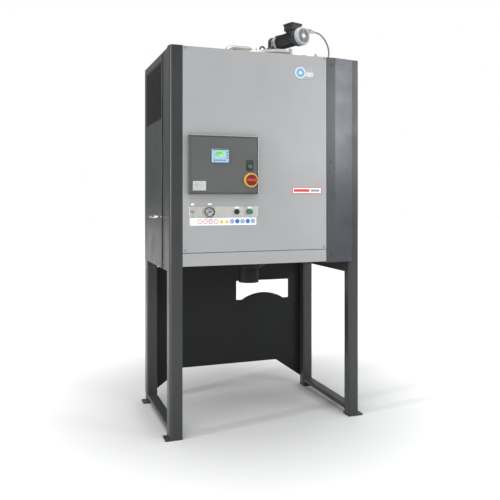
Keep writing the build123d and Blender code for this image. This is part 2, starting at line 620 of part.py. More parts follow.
def scraper_blades():
    """Two sprung plastic blades that wipe the wall."""
    return [block(BOILER_X + s * 214.2 - (0 if s > 0 else 7), BOILER_X + s * 214.2 + (7 if s > 0 else 0),
                  -10, 10, SCRAPER_BOTTOM, 1760) for s in (1, -1)]


# ---- discharge ----
def valve_body():
    """A wafer valve body with its neck."""
    c = (BOILER_X, BOILER_Y)
    body = ring((*c, VALVE_Z0), (*c, VALVE_Z1), 82, NOZZLE_R)
    body += rod((BOILER_X + 70, BOILER_Y, 1038), (BOILER_X + 130, BOILER_Y, 1038), 16)
    return body - rod((BOILER_X - 60, BOILER_Y, 1038), (BOILER_X + 140, BOILER_Y, 1038), 8.05)


def valve_disc():
    """The valve's disc, shut, on its stem."""
    disc = Pos(BOILER_X, BOILER_Y, 1038) * Cylinder(NOZZLE_R - 0.4, 8)
    return disc + rod((BOILER_X - 56, BOILER_Y, 1038), (BOILER_X + 142, BOILER_Y, 1038), 8)


def valve_actuator():
    """The air cylinder that turns the valve."""
    x0, x1 = BOILER_X + 131, BOILER_X + 196
    body = soften(block(x0, x1, -100, 100, 1003, 1073), 8, Axis.Y)
    body -= rod((x0 - 1, 0, 1038), (x0 + 30, 0, 1038), 8.06)
    return body + [block(x0 + 3, x1 - 3, s * 106 - 6, s * 106 + 6, 1006, 1070) for s in (1, -1)]


def mitred_pipe(points, radius):
    """Straight runs of one radius, with round corners where they meet."""
    runs = [rod(a, b, radius) for a, b in zip(points, points[1:])]
    corners = [Pos(*p) * Sphere(radius) for p in points[1:-1]]
    return runs[0] + runs[1:] + corners


def discharge_chute():
    """The sloping pipe from the valve to the spout under the cabinet's middle."""
    top = VALVE_Z0 - 12
    route = [(BOILER_X, 0, top), (BOILER_X, 0, 960), (0, 0, 868), (0, 0, SPOUT_END)]
    bore = [(BOILER_X, 0, VALVE_Z0 + 10), *route[1:-1], (0, 0, SPOUT_END - 1)]
    flange = rod((BOILER_X, 0, top), (BOILER_X, 0, VALVE_Z0), 82)
    bead = rod((0, 0, SPOUT_END + SPIGOT), (0, 0, SPOUT_END + SPIGOT + 6), SPOUT_R + 3)
    return mitred_pipe(route, SPOUT_R) + flange + bead - mitred_pipe(bore, SPOUT_R - 4)


# ---- gearmotor ----
AIM = Vector(math.sin(math.radians(MOTOR_TURN)), -math.cos(math.radians(MOTOR_TURN)), 0)
SIDE = Vector(-AIM.Y, AIM.X, 0)
MOTOR_PLANE = Plane(origin=(BOILER_X, BOILER_Y, MOTOR_Z), x_dir=AIM, z_dir=(0, 0, 1))
MOTOR_R, COWL_R = 44, 52
GEAR_END, MOTOR_START, MOTOR_END, COWL_END = 27, 65, 226, 274


def along(distance, side=0.0, up=0.0):
    """A point on the roof, measured from the boiler axis along the motor."""
    p = Vector(BOILER_X, BOILER_Y, MOTOR_Z) + AIM * distance + SIDE * side + Vector(0, 0, up)
    return (p.X, p.Y, p.Z)


def motor_block(d0, d1, s0, s1, u0, u1):
    """A box squared to the motor."""
    body = block(d0, d1, s0, s1, u0, u1)
    return Plane(origin=(BOILER_X, BOILER_Y, MOTOR_Z), x_dir=AIM, z_dir=(0, 0, 1)) * body


def gearbox():
    """The worm gearbox: a domed upright case with a snout towards the motor."""
    base, top = GEAR_BASE, MOTOR_Z + 40
    case = turned([(0, base), (48, base), (48, base + 9), (33, base + 12), (33, top - 24), (30, top - 13),
                   (22, top - 4), (10, top), (0, top)], BOILER_X, BOILER_Y)
    snout = rod(along(0), along(GEAR_END), 32)
    bore = rod((BOILER_X, BOILER_Y, base - 1), (BOILER_X, BOILER_Y, base + 12), 20.06)
    return case + snout - bore


def gear_flange():
    """The bare aluminium end of the gearbox, towards the motor."""
    flange = rod(along(GEAR_END), along(MOTOR_START), 37)
    for i in range(4):
        a = math.radians(45 + 90 * i)
        lug = rod(along(MOTOR_START - 12, 40 * math.cos(a), 40 * math.sin(a)),
                  along(MOTOR_START, 40 * math.cos(a), 40 * math.sin(a)), 9)
        flange += lug
    return flange


def motor_body():
    """The finned motor frame."""
    body = rod(along(MOTOR_START), along(MOTOR_END), MOTOR_R - 6)
    for i in range(24):
        a = math.radians(7.5 + 15 * i)
        if 60 < math.degrees(a) < 120:
            continue
        fin = block(MOTOR_START + 8, MOTOR_END - 8, -1, 1, MOTOR_R - 8, MOTOR_R)
        body += MOTOR_PLANE * (Rot(math.degrees(a) - 90, 0, 0) * fin)
    for start in (MOTOR_START, MOTOR_END - 12):
        body += rod(along(start), along(start + 12), MOTOR_R)
    body += motor_block(BOX_D - 30, BOX_D + 30, -28, 28, 25, BOX_U0)
    return body - rod(along(MOTOR_END - 20), along(MOTOR_END + 1), 7.05)


BOX_D, BOX_HALF = 178, 38
BOX_U0, BOX_U1 = MOTOR_R + 2, MOTOR_R + 41


def terminal_box():
    """The motor's terminal box and its overhanging lid."""
    box = motor_block(BOX_D - BOX_HALF, BOX_D + BOX_HALF, -BOX_HALF, BOX_HALF, BOX_U0, BOX_U1 - 8)
    rim = BOX_HALF + 4
    lid = motor_block(BOX_D - rim, BOX_D + rim, -rim, rim, BOX_U1 - 8, BOX_U1)
    return soften(box, 6) + soften(lid, 7)


def far_end(shape):
    """The face of a shape that lies furthest along the motor."""
    return shape.faces().sort_by(lambda f: f.center().dot(AIM))[-1]


def fan_cowl():
    """The fan cover, open at the motor end, with ring slots in its face."""
    shell = rod(along(MOTOR_END - 5), along(COWL_END), COWL_R)
    shell = fillet(far_end(shell).edges(), 8)
    hollow = rod(along(MOTOR_END - 6), along(COWL_END - 2), COWL_R - 2)
    shell -= fillet(far_end(hollow).edges(), 6)
    face0, face1 = COWL_END - 5, COWL_END + 2
    for r0, r1 in ((14, 19), (24, 29), (34, 39)):
        slot = ring(along(face0), along(face1), r1, r0)
        spokes = [motor_block(face0, face1, -3, 3, -60, 60), motor_block(face0, face1, -60, 60, -3, 3)]
        shell -= slot - spokes
    return shell


def motor_fan():
    """The rotor's shaft end and the cooling fan."""
    hub = rod(along(MOTOR_END - 18), along(COWL_END - 8), 7)
    hub += rod(along(MOTOR_END + 6), along(COWL_END - 8), 16)
    for i in range(8):
        blade = block(MOTOR_END + 8, COWL_END - 9, -1.2, 1.2, 12, 45)
        hub += MOTOR_PLANE * (Rot(45 * i, 0, 0) * blade)
    return hub


GLAND_U = (BOX_U0 + BOX_U1) / 2
GLAND_END = BOX_HALF + 130


def cable_gland():
    """A metal reducer and compression gland on the side of the terminal box."""
    def at(side):
        return along(BOX_D, side, GLAND_U)

    def hexagon(s0, s1, r):
        plane = Plane(origin=at(s0), z_dir=SIDE)
        return plane * extrude(RegularPolygon(r, 6), s1 - s0)

    body = rod(at(BOX_HALF), at(GLAND_END - 4), 8.5)
    for s0, s1, r in ((6, 20, 14), (34, 52, 15), (66, 78, 13), (88, 110, 13)):
        body += hexagon(BOX_HALF + s0, BOX_HALF + s1, r)
    return body + rod(at(GLAND_END - 6), at(GLAND_END), 7)


CABLE_R = 5
CABLE_START = Vector(*along(BOX_D, GLAND_END, GLAND_U))
CABLE_ROUTE = (                         # steps from the gland: out, over and down through the roof
    (0, 0, 0), (26.6, 8.65, 0), (51, 14, -7), (73, 16, -24), (91, 16, -48), (104, 15, -77),
    (110, 14, -109), (106, 13, -141), (97, 12, -172), (90, 12, -203), (86, 12, -236))
CABLE_IN = CABLE_START + Vector(88, 12, 0)


def motor_cable():
    """The motor's supply cable, as straight runs joined by arcs."""
    points = [CABLE_START + Vector(*step) for step in CABLE_ROUTE]
    radii = []
    for a, b, c in zip(points, points[1:], points[2:]):
        turn = (b - a).get_angle(c - b)
        shorter = min((b - a).length, (c - b).length)
        radii.append(0.45 * shorter / math.tan(math.radians(turn / 2)))
    print("cable radii", [round(r, 1) for r in radii])
    route = FilletPolyline(*points, radius=radii)
    start = Plane(origin=points[0], z_dir=points[1] - points[0])
    tube = sweep(start * Circle(CABLE_R), path=route)
    print("cable length", round(route.length, 1), "volume ratio",
          round(tube.volume / (math.pi * CABLE_R**2 * route.length), 4))
    return tube


# ---- vapour side ----
def vapour_pipe():
    """From the lid, level to the left, then down through the roof to the condenser."""
    path = FilletPolyline((NECK_X, PIPE_Y, LID_Z), (NECK_X, PIPE_Y, PIPE_Z), (PIPE_X, PIPE_Y, PIPE_Z),
                          (PIPE_X, PIPE_Y, 1990), radius=[22, 32])
    start = Plane(origin=(NECK_X, PIPE_Y, LID_Z), z_dir=(0, 0, 1))
    return sweep(start * Circle(PIPE_R), path=path) - sweep(start * Circle(PIPE_R - 2), path=path)


CORE_X0, CORE_X1 = LEFT + 95, LEFT + 155
CORE_Y, CORE_Z, CORE_HALF = FRONT + 420, 1850, 150
FAN_X0 = CORE_X1 + 2


def condenser_core():
    """The finned condenser block behind the side grille."""
    y0, y1 = CORE_Y - CORE_HALF - 20, CORE_Y + CORE_HALF + 20
    tank = [block(CORE_X0, CORE_X1, y0, y1, z - 10, z + 10)
            for z in (CORE_Z + CORE_HALF + 10, CORE_Z - CORE_HALF - 10)]
    core = block(CORE_X0 + 5, CORE_X1 - 5, CORE_Y - CORE_HALF - 18, CORE_Y + CORE_HALF + 18,
                 CORE_Z - CORE_HALF, CORE_Z + CORE_HALF)
    return tank[0] + core + tank[1]


def fan_shroud():
    """The square fan plate with its ring and the motor's spider."""
    c = (CORE_Y, CORE_Z)
    plate = block(FAN_X0, FAN_X0 + 3, CORE_Y - 160, CORE_Y + 160, CORE_Z - 158, CORE_Z + 158)
    plate += rod((FAN_X0, *c), (FAN_X0 + 60, *c), 146)
    plate -= rod((FAN_X0 - 1, *c), (FAN_X0 + 61, *c), 142)
    spider = block(FAN_X0 + 52, FAN_X0 + 58, CORE_Y - 144, CORE_Y + 144, CORE_Z - 8, CORE_Z + 8)
    spider += block(FAN_X0 + 52, FAN_X0 + 58, CORE_Y - 8, CORE_Y + 8, CORE_Z - 144, CORE_Z + 144)
    motor = rod((FAN_X0 + 40, *c), (FAN_X0 + 110, *c), 42)
    return plate + spider + motor - rod((FAN_X0 + 30, *c), (FAN_X0 + 70, *c), 6.05)


def condenser_fan():
    """A five-bladed fan on its shaft."""
    c = (CORE_Y, CORE_Z)
    hub = rod((FAN_X0 + 8, *c), (FAN_X0 + 34, *c), 34) + rod((FAN_X0 + 30, *c), (FAN_X0 + 66, *c), 6)
    for i in range(5):
        blade = Pos(0, 0, 82) * Rot(0, 0, 35) * Box(3, 46, 104)
        hub += Pos(FAN_X0 + 21, CORE_Y, CORE_Z) * Rot(72 * i, 0, 0) * blade
    return hub


# ---- all nodes ----
NODES = {
    "front_left_column": front_left_column,
    "front_right_column": lambda: column(LEG_RIGHT, RIGHT, RIGHT_FRONT_Y, RIGHT_FRONT_Y + TUBE, 13),
    "rear_columns": rear_columns,
    "foot_plates": feet,
    "frame_rails": frame_rails,
    "front_panel": front_panel,
    "front_lower_panel": lambda: pan_front(PANEL_LEFT, PANEL_RIGHT, FLOOR_Z, STRIP_TOP, 24),
    "right_corner_cover": right_corner_cover,
    "left_side_strip": left_strip,
    "side_door": side_door,
    "side_door_grille": side_grille,
    "side_door_handle": side_handle,
    "right_side_panel": right_side_panel,
    "roof_panel": roof,
    "cabinet_floor": cabinet_floor,
    "rear_upper_panel": rear_upper_panel,
    "rear_lower_panel": rear_lower_panel,
    "panel_screws": panel_screws,
    "enclosure_body": enclosure_body,
    "enclosure_door": enclosure_door,
    "door_hinges": lambda: side_hinges() + enclosure_hinges(),
    "operator_panel": operator_panel,
    "start_button": start_button,
    "start_button_holder": start_holder,
    "main_switch_ring": switch_ring,
    "main_switch_handle": switch_handle,
    "pneumatic_plate": pneumatic_plate,
    "gauge_case": gauge_case,
    "gauge_lens": gauge_lens,
    "gauge_pointer": gauge_pointer,
    "flow_knob": flow_knob,
    "air_collars": air_collars,
    "air_selector": air_selector,
    "air_button": air_button,
    "blank_labels": blank_labels,
    "boiler_vessel": boiler_vessel,
    "oil_jacket": oil_jacket,
    "boiler_insulation": insulation,
    "heating_rods": heaters,
    "boiler_lid": boiler_lid,
    "lid_clamps": lid_clamps,
    "lifting_eye": lifting_eye,
    "seal_housing": seal_housing,
    "scraper_shaft": scraper_shaft,
    "scraper_blades": scraper_blades,
    "valve_body": valve_body,
    "valve_disc": valve_disc,
    "valve_actuator": valve_actuator,
    "discharge_chute": discharge_chute,
    "gearbox": lambda: gearbox() + gear_flange(),
    "motor_body": motor_body,
    "terminal_box": terminal_box,
    "fan_cowl": fan_cowl,
    "motor_fan": motor_fan,
    "cable_gland": cable_gland,
    "motor_cable": motor_cable,
    "vapour_pipe": vapour_pipe,
    "condenser_core": condenser_core,
    "fan_shroud": fan_shroud,
    "condenser_fan": condenser_fan,
}

if __name__ == "__main__":
    for name, make in NODES.items():
        save(name, make())
    print(len(NODES), "nodes")
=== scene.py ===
import json
import math

import bmesh
import bpy
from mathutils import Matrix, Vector


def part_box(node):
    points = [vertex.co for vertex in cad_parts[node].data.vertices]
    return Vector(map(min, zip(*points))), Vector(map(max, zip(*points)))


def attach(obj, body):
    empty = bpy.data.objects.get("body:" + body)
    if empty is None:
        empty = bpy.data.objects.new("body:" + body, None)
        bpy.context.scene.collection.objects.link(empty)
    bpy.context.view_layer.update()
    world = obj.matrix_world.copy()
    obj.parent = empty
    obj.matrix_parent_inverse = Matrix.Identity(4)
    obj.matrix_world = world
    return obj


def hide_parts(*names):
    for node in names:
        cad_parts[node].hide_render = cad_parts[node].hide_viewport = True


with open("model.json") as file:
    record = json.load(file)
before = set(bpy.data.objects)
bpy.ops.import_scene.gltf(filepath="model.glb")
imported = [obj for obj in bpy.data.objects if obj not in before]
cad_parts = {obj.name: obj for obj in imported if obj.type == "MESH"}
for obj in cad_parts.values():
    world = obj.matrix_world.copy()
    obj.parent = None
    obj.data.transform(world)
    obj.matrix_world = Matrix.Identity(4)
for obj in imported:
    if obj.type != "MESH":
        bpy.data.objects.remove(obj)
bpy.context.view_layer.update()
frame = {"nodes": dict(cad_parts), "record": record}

MM = 0.001
NODES = frame["nodes"]
RECORD = frame["record"]
scene = bpy.context.scene


# ---- materials: every one is a small node tree ----
class Tree:
    """A material's node tree, with short calls for the nodes that the finishes share."""

    def __init__(self, name):
        self.material = bpy.data.materials.new(name)
        self.material.use_nodes = True
        self.nodes = self.material.node_tree.nodes
        self.links = self.material.node_tree.links
        self.shader = self.nodes["Principled BSDF"]
        self.place = self.nodes.new("ShaderNodeTexCoord").outputs["Object"]

    def link(self, a, b):
        self.links.new(a, b)

    def noise(self, scale, detail=3.0, stretch=None, rough=0.55):
        """Noise in the object's own metres; stretch makes it long along one axis."""
        node = self.nodes.new("ShaderNodeTexNoise")
        node.inputs["Scale"].default_value = scale
        node.inputs["Detail"].default_value = detail
        node.inputs["Roughness"].default_value = rough
        if stretch:
            turn = self.nodes.new("ShaderNodeMapping")
            turn.inputs["Scale"].default_value = stretch
            self.link(self.place, turn.inputs["Vector"])
            self.link(turn.outputs["Vector"], node.inputs["Vector"])
        else:
            self.link(self.place, node.inputs["Vector"])
        return node.outputs["Fac"]

    def spread(self, value, low, high, out_low=0.0, out_high=1.0):
        node = self.nodes.new("ShaderNodeMapRange")
        node.inputs["From Min"].default_value = low
        node.inputs["From Max"].default_value = high
        node.inputs["To Min"].default_value = out_low
        node.inputs["To Max"].default_value = out_high
        self.link(value, node.inputs["Value"])
        return node.outputs["Result"]

    def mix(self, factor, a, b):
        node = self.nodes.new("ShaderNodeMix")
        node.data_type = "RGBA"
        for socket, value in ((node.inputs[6], a), (node.inputs[7], b)):
            if isinstance(value, tuple):
                socket.default_value = (*value, 1)
            else:
                self.link(value, socket)
        self.link(factor, node.inputs["Factor"])
        return node.outputs[2]

    def bump(self, height, strength, distance, normal=None):
        node = self.nodes.new("ShaderNodeBump")
        node.inputs["Strength"].default_value = strength
        node.inputs["Distance"].default_value = distance
        self.link(height, node.inputs["Height"])
        if normal:
            self.link(normal, node.inputs["Normal"])
        return node.outputs["Normal"]

    def soft_edges(self, radius):
        """Normals that round the edges, and a mask that is bright on those edges."""
        bevel = self.nodes.new("ShaderNodeBevel")
        bevel.samples = 4
        bevel.inputs["Radius"].default_value = radius
        flat = self.nodes.new("ShaderNodeNewGeometry")
        dot = self.nodes.new("ShaderNodeVectorMath")
        dot.operation = "DOT_PRODUCT"
        self.link(bevel.outputs["Normal"], dot.inputs[0])
        self.link(flat.outputs["Normal"], dot.inputs[1])
        return bevel.outputs["Normal"], self.spread(dot.outputs["Value"], 0.995, 0.8)


def shade(colour, factor):
    return tuple(min(1.0, c * factor) for c in colour)


def painted(name, colour, rough=0.4, grain=900, depth=0.35, edge=1.5, coat=0.0, patch=2.2, bevel=1.2 * MM,
            gloss=0.5):
    """Powder coat or enamel: fine grain, slow colour drift, smudges, and lighter worn edges."""
    t = Tree(name)
    drift = t.mix(t.spread(t.noise(patch, 4), 0.35, 0.68), shade(colour, 0.93), shade(colour, 1.06))
    speck = t.mix(t.spread(t.noise(grain * 0.6, 2), 0.42, 0.62), drift, shade(colour, 1.12))
    fleck = t.nodes.new("ShaderNodeMix")
    fleck.data_type = "RGBA"
    fleck.inputs["Factor"].default_value = 0.35
    t.link(drift, fleck.inputs[6])
    t.link(speck, fleck.inputs[7])
    normal, mask = t.soft_edges(bevel)
    worn = t.spread(t.noise(60, 5), 0.3, 0.75)
    wear = t.nodes.new("ShaderNodeMath")
    wear.operation = "MULTIPLY"
    t.link(mask, wear.inputs[0])
    t.link(worn, wear.inputs[1])
    t.link(t.mix(wear.outputs["Value"], fleck.outputs[2], shade(colour, edge)), t.shader.inputs["Base Color"])
    t.link(t.spread(t.noise(7, 6), 0.3, 0.75, rough - 0.05, rough + 0.09), t.shader.inputs["Roughness"])
    t.link(t.bump(t.noise(grain, 2), depth, 0.0002, normal), t.shader.inputs["Normal"])
    t.shader.inputs["Coat Weight"].default_value = coat
    t.shader.inputs["Coat Roughness"].default_value = 0.12
    t.shader.inputs["Specular IOR Level"].default_value = gloss
    return t.material


def metal(name, colour, rough=0.28, stretch=(1, 1, 60), grain=140, tint=None, bevel=0.8 * MM, depth=0.25):
    """Bare metal with a drawn or cast grain, handling marks and faint stains."""
    t = Tree(name)
    drift = t.mix(t.spread(t.noise(9, 5), 0.32, 0.7), shade(colour, 0.84), colour)
    stain = t.mix(t.spread(t.noise(26, 6), 0.56, 0.8), drift, tint or shade(colour, 0.7))
    normal, mask = t.soft_edges(bevel)
    t.link(t.mix(mask, stain, shade(colour, 1.15)), t.shader.inputs["Base Color"])
    t.shader.inputs["Metallic"].default_value = 1.0
    lines = t.noise(grain, 3, stretch)
    t.link(t.spread(lines, 0.3, 0.7, rough - 0.08, rough + 0.12), t.shader.inputs["Roughness"])
    t.link(t.bump(lines, depth, 0.0001, normal), t.shader.inputs["Normal"])
    return t.material


def moulded(name, colour, rough=0.38, grain=1500, depth=0.2, coat=0.0, edge=1.35):
    """Moulded plastic: spark-eroded grain, flow marks and rubbed edges."""
    t = Tree(name)
    flow = t.mix(t.spread(t.noise(38, 3, (1, 1, 0.3)), 0.3, 0.7), shade(colour, 0.9), shade(colour, 1.08))
    normal, mask = t.soft_edges(0.5 * MM)
    t.link(t.mix(mask, flow, shade(colour, edge)), t.shader.inputs["Base Color"])
    t.link(t.spread(t.noise(90, 4), 0.3, 0.75, rough - 0.06, rough + 0.1), t.shader.inputs["Roughness"])
    t.link(t.bump(t.noise(grain, 2), depth, 0.00012, normal), t.shader.inputs["Normal"])
    t.shader.inputs["Coat Weight"].default_value = coat
    return t.material


def clear(name, colour, rough=0.04):
    """A thin clear pane with a faint film of dust."""
    t = Tree(name)
    film = t.spread(t.noise(120, 4), 0.45, 0.8)
    t.link(t.mix(film, colour, shade(colour, 0.9)), t.shader.inputs["Base Color"])
    t.link(t.spread(t.noise(60, 4), 0.4, 0.8, rough, rough + 0.12), t.shader.inputs["Roughness"])
    t.shader.inputs["Transmission Weight"].default_value = 1.0
    t.shader.inputs["IOR"].default_value = 1.05
    return t.material


def wool(name, colour):
    """Quilted fibre wrap."""
    t = Tree(name)
    fibre = t.noise(320, 6, (1, 1, 0.25), 0.7)
    quilt = t.mix(t.spread(fibre, 0.3, 0.7), shade(colour, 0.7), shade(colour, 1.15))
    t.link(quilt, t.shader.inputs["Base Color"])
    t.link(t.bump(fibre, 0.8, 0.002), t.shader.inputs["Normal"])
    t.link(t.spread(t.noise(20, 3), 0.3, 0.7, 0.8, 0.95), t.shader.inputs["Roughness"])
    t.shader.inputs["Sheen Weight"].default_value = 0.3
    return t.material


def lit(name, colour, dark, strength=0.35):
    """A backlit display: fine cell grid over an uneven backlight."""
    t = Tree(name)
    glow = t.mix(t.spread(t.noise(45, 2), 0.3, 0.7), shade(colour, 0.75), colour)
    cells = t.nodes.new("ShaderNodeTexBrick")
    cells.inputs["Scale"].default_value = 900
    cells.inputs["Mortar Size"].default_value = 0.03
    t.link(t.place, cells.inputs["Vector"])
    picture = t.mix(cells.outputs["Fac"], glow, dark)
    t.link(picture, t.shader.inputs["Base Color"])
    t.link(picture, t.shader.inputs["Emission Color"])
    t.shader.inputs["Emission Strength"].default_value = strength
    t.link(t.spread(t.noise(80, 3), 0.3, 0.7, 0.1, 0.2), t.shader.inputs["Roughness"])
    return t.material


def split_paint(name, colour, other, where, low, high, **how):
    """A paint that turns into the other colour where place or normal, taken along a direction,
    passes from low to high: two-tone paint, and also painted light where one part or side is lit or shaded."""
    material = painted(name, colour, **how)
    nodes, links = material.node_tree.nodes, material.node_tree.links
    source, direction = where
    node = nodes.new("ShaderNodeNewGeometry")
    dot = nodes.new("ShaderNodeVectorMath")
    dot.operation = "DOT_PRODUCT"
    dot.inputs[1].default_value = direction
    links.new(node.outputs[source], dot.inputs[0])
    mask = nodes.new("ShaderNodeMapRange")
    mask.inputs["From Min"].default_value = low
    mask.inputs["From Max"].default_value = high
    links.new(dot.outputs["Value"], mask.inputs["Value"])
    base = nodes["Principled BSDF"].inputs["Base Color"]
    mix = nodes.new("ShaderNodeMix")
    mix.data_type = "RGBA"
    mix.blend_type = "MULTIPLY"
    links.new(base.links[0].from_socket, mix.inputs[6])
    mix.inputs[7].default_value = (*[b / a for a, b in zip(colour, other)], 1)
    links.new(mask.outputs["Result"], mix.inputs["Factor"])
    links.new(mix.outputs[2], base)
    return material


# The motor lies level over the boiler's axis, turned to the right of the front.
BOILER = Vector((0.160, 0.0, 2.196))
TURN = math.radians(18)
AIM = Vector((math.sin(TURN), -math.cos(TURN), 0))
SIDE = Vector((-AIM.y, AIM.x, 0))
UP = Vector((0, 0, 1))

ANTHRACITE = (0.030, 0.0315, 0.032)
LIGHT_GREY = (0.288, 0.290, 0.2905)
BRIGHT_STEEL = (0.62, 0.62, 0.63)
LABEL_WHITE = (0.80, 0.81, 0.82)
FINISHES = {
    "anthracite_paint": painted("anthracite_coat", ANTHRACITE, 0.33, depth=0.5, edge=2.2, gloss=0.4),
    "light_grey_paint": painted("light_grey_coat", LIGHT_GREY, 0.42, edge=1.3),
    "dark_box_paint": painted("box_coat", (0.082, 0.084, 0.082), 0.38, edge=2.0, gloss=0.4),
    "black_paint": painted("black_enamel", (0.016, 0.016, 0.018), 0.3, 500, 0.5, 2.5, 0.3, 20),
    "stainless": metal("stainless_brushed", (0.60, 0.585, 0.56), 0.26, tint=(0.42, 0.36, 0.29)),
    "chrome": metal("bright_bar", BRIGHT_STEEL, 0.2, (1, 1, 1), 60, depth=0.05),
    "bare_aluminium": metal("cast_aluminium", (0.72, 0.73, 0.74), 0.36, (1, 1, 1), 700, depth=0.5),
    "zinc_steel": metal("zinc_plate", (0.62, 0.62, 0.61), 0.3, (1, 1, 1), 260),
    "brass": metal("nickelled_brass", (0.56, 0.52, 0.49), 0.26, (1, 1, 1), 300, (0.36, 0.28, 0.24)),
    "black_plastic": moulded("black_moulding", (0.018, 0.018, 0.019), 0.42),
    "bezel_plastic": moulded("bezel_moulding", (0.30, 0.45, 0.58), 0.35),
    "green_plastic": moulded("green_moulding", (0.018, 0.17, 0.10), 0.22, coat=0.4),
    "red_plastic": moulded("red_moulding", (0.24, 0.024, 0.014), 0.3, coat=0.3),
    "yellow_plastic": moulded("yellow_moulding", (0.62, 0.40, 0.05), 0.36),
    "label_film": moulded("label_film", LABEL_WHITE, 0.3, 600, 0.05),
    "clear_glass": clear("gauge_glass", (0.97, 0.99, 0.99)),
    "cable_jacket": moulded("cable_jacket", (0.20, 0.205, 0.215), 0.45, 900, 0.35),
    "mineral_wool": wool("foil_wool", (0.42, 0.40, 0.36)),
    "white_plastic": moulded("blade_plastic", (0.70, 0.70, 0.66), 0.4),
    "actuator_paint": painted("actuator_coat", (0.05, 0.052, 0.06), 0.4, 700, 0.4, 2.0),
}
# Lit and shaded copies of one red: the grip's is a painted highlight, the boss's a painted shade.
BOSS_SHADE_RED, GRIP_HIGHLIGHT_RED = (0.15, 0.011, 0.009), (0.40, 0.034, 0.014)
# The two-tone paints change at the cowl's rim, between the screws of the front and of the corner cover,
# and between the lower and the upper labels. The switch's paint holds painted light: a lighter red on its
# grip, a painted highlight, and a darker red on the boss behind it, painted shade. The corner cover's paint
# turns bluer on its faces that turn right, a painted reflection.
COWL_RIM = BOILER.dot(AIM) + 0.250
SWITCH_FACE = -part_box("main_switch_handle")[0].y - 0.015
COVER_SCREWS_X = 0.340
UPPER_LABEL_Z = 1.915
DISPLAY = lit("backlit_display", (0.28, 0.62, 0.24), (0.12, 0.34, 0.14))
INK = moulded("printed_ink", (0.03, 0.03, 0.035), 0.35, 700, 0.05)
COWL_PAINT = split_paint("cowl_coat", (0.03, 0.03, 0.032), (0.40, 0.41, 0.42), ("Position", AIM),
                      COWL_RIM, COWL_RIM + 0.002, rough=0.3)
# Painted reflection: the corner cover's faces that turn right are a bluer tone, for the cool light they
# reflect.
COVER_REFLECTION_COAT = split_paint("corner_cover_painted_reflection", (0.036, 0.0385, 0.038), (0.034, 0.0365, 0.043),
                      ("Normal", (1, 0, 0)), 0.06, 0.1, rough=0.3)
SCREW_COAT = split_paint("screw_coat", (0.20, 0.20, 0.205), (0.034, 0.036, 0.036), ("Position", (1, 0, 0)),
                      COVER_SCREWS_X, COVER_SCREWS_X + 0.002, rough=0.35)
# Painted light: the switch's raised grip is the lighter red, the boss behind it the darker red.
SWITCH_LIGHT_COAT = split_paint("switch_painted_light", BOSS_SHADE_RED, GRIP_HIGHLIGHT_RED, ("Position", (0, -1, 0)),
                       SWITCH_FACE, SWITCH_FACE + 0.002, rough=0.3)
# Painted shade: the rear panel, the chute and the cabinet floor, inside and under the cabinet, are nearly
# black, darker than the anthracite paint.
INNER_SHADE_COAT = painted("inner_painted_shade_coat", (0.012, 0.0125, 0.0125), 0.5, edge=2.0, gloss=0.2)
# Painted shade: the side door's grille is nearly black, darker than the anthracite, for the shade in its
# openings.
GRILLE_SHADE_COAT = painted("grille_painted_shade", (0.012, 0.0125, 0.013), 0.5, edge=1.6, gloss=0.25)
BEAD_COAT = painted("door_bead_coat", (0.040, 0.041, 0.041), 0.4, edge=1.2)
# Painted highlight: bright metal for the strip laid on the door's top and right edges, where light catches
# them.
HIGHLIGHT_STRIP_METAL = metal("door_highlight_strip_metal", BRIGHT_STEEL, 0.35, (1, 1, 1), 300)
SIGN_RED = moulded("sign_red", (0.50, 0.04, 0.03), 0.3, 700, 0.05)
SIGN_BLUE = moulded("sign_blue", (0.03, 0.14, 0.42), 0.3, 700, 0.05)
SIGN_YELLOW = moulded("sign_yellow", (0.55, 0.46, 0.05), 0.3, 700, 0.05)
GREY_INK = moulded("grey_ink", (0.22, 0.22, 0.23), 0.35, 700, 0.05)
PALE_INK = moulded("pale_ink", (0.66, 0.68, 0.74), 0.35, 700, 0.05)
DIAL_WHITE = moulded("dial_white", (0.42, 0.42, 0.43), 0.4, 700, 0.05)
GREY_WIRE = painted("guard_wire", (0.16, 0.165, 0.17), 0.3, 500, 0.3)
PLATE_METAL = metal("plate_metal", (0.70, 0.70, 0.69), 0.42, (30, 1, 1), 160)
BADGE_BLUE = moulded("badge_blue", (0.16, 0.34, 0.50), 0.25, 700, 0.05, 0.4)
BADGE_FIELD = moulded("badge_field", (0.66, 0.70, 0.73), 0.25, 700, 0.05, 0.4)
BADGE_BAR = moulded("badge_bar", (0.50, 0.505, 0.51), 0.3, 700, 0.05)
LABEL_COAT = split_paint("label_coat", LABEL_WHITE, (0.31, 0.312, 0.313), ("Position", (0, 0, 1)),
                      UPPER_LABEL_Z, UPPER_LABEL_Z + 0.001, rough=0.3)

SLOT_OF = {part["node"]: part["material_slot"] for part in RECORD["subparts"]}
# Nodes whose finish differs from the rest of their slot.
REPAINT = {
    "fan_cowl": COWL_PAINT,
    "right_corner_cover": COVER_REFLECTION_COAT,
    # The next three carry the painted shade of the inside and the underside.
    "rear_lower_panel": INNER_SHADE_COAT,
    "discharge_chute": INNER_SHADE_COAT,
    "cabinet_floor": INNER_SHADE_COAT,
    "side_door_grille": GRILLE_SHADE_COAT,
    "main_switch_handle": SWITCH_LIGHT_COAT,
    "pneumatic_plate": metal("air_plate", (0.66, 0.645, 0.595), 0.36, (1, 1, 30), 200),
    "gauge_case": painted("gauge_coat", (0.085, 0.086, 0.09), 0.35),
    "panel_screws": SCREW_COAT,
    "blank_labels": LABEL_COAT,
    "boiler_lid": metal("polished_lid", (0.88, 0.87, 0.85), 0.42, (1, 1, 1), 200),
    "vapour_pipe": metal("polished_pipe", (0.50, 0.46, 0.41), 0.3, (1, 1, 1), 200),
}
for node, obj in NODES.items():
    obj.data.materials.clear()
    obj.data.materials.append(REPAINT.get(node, FINISHES[SLOT_OF[node]]))


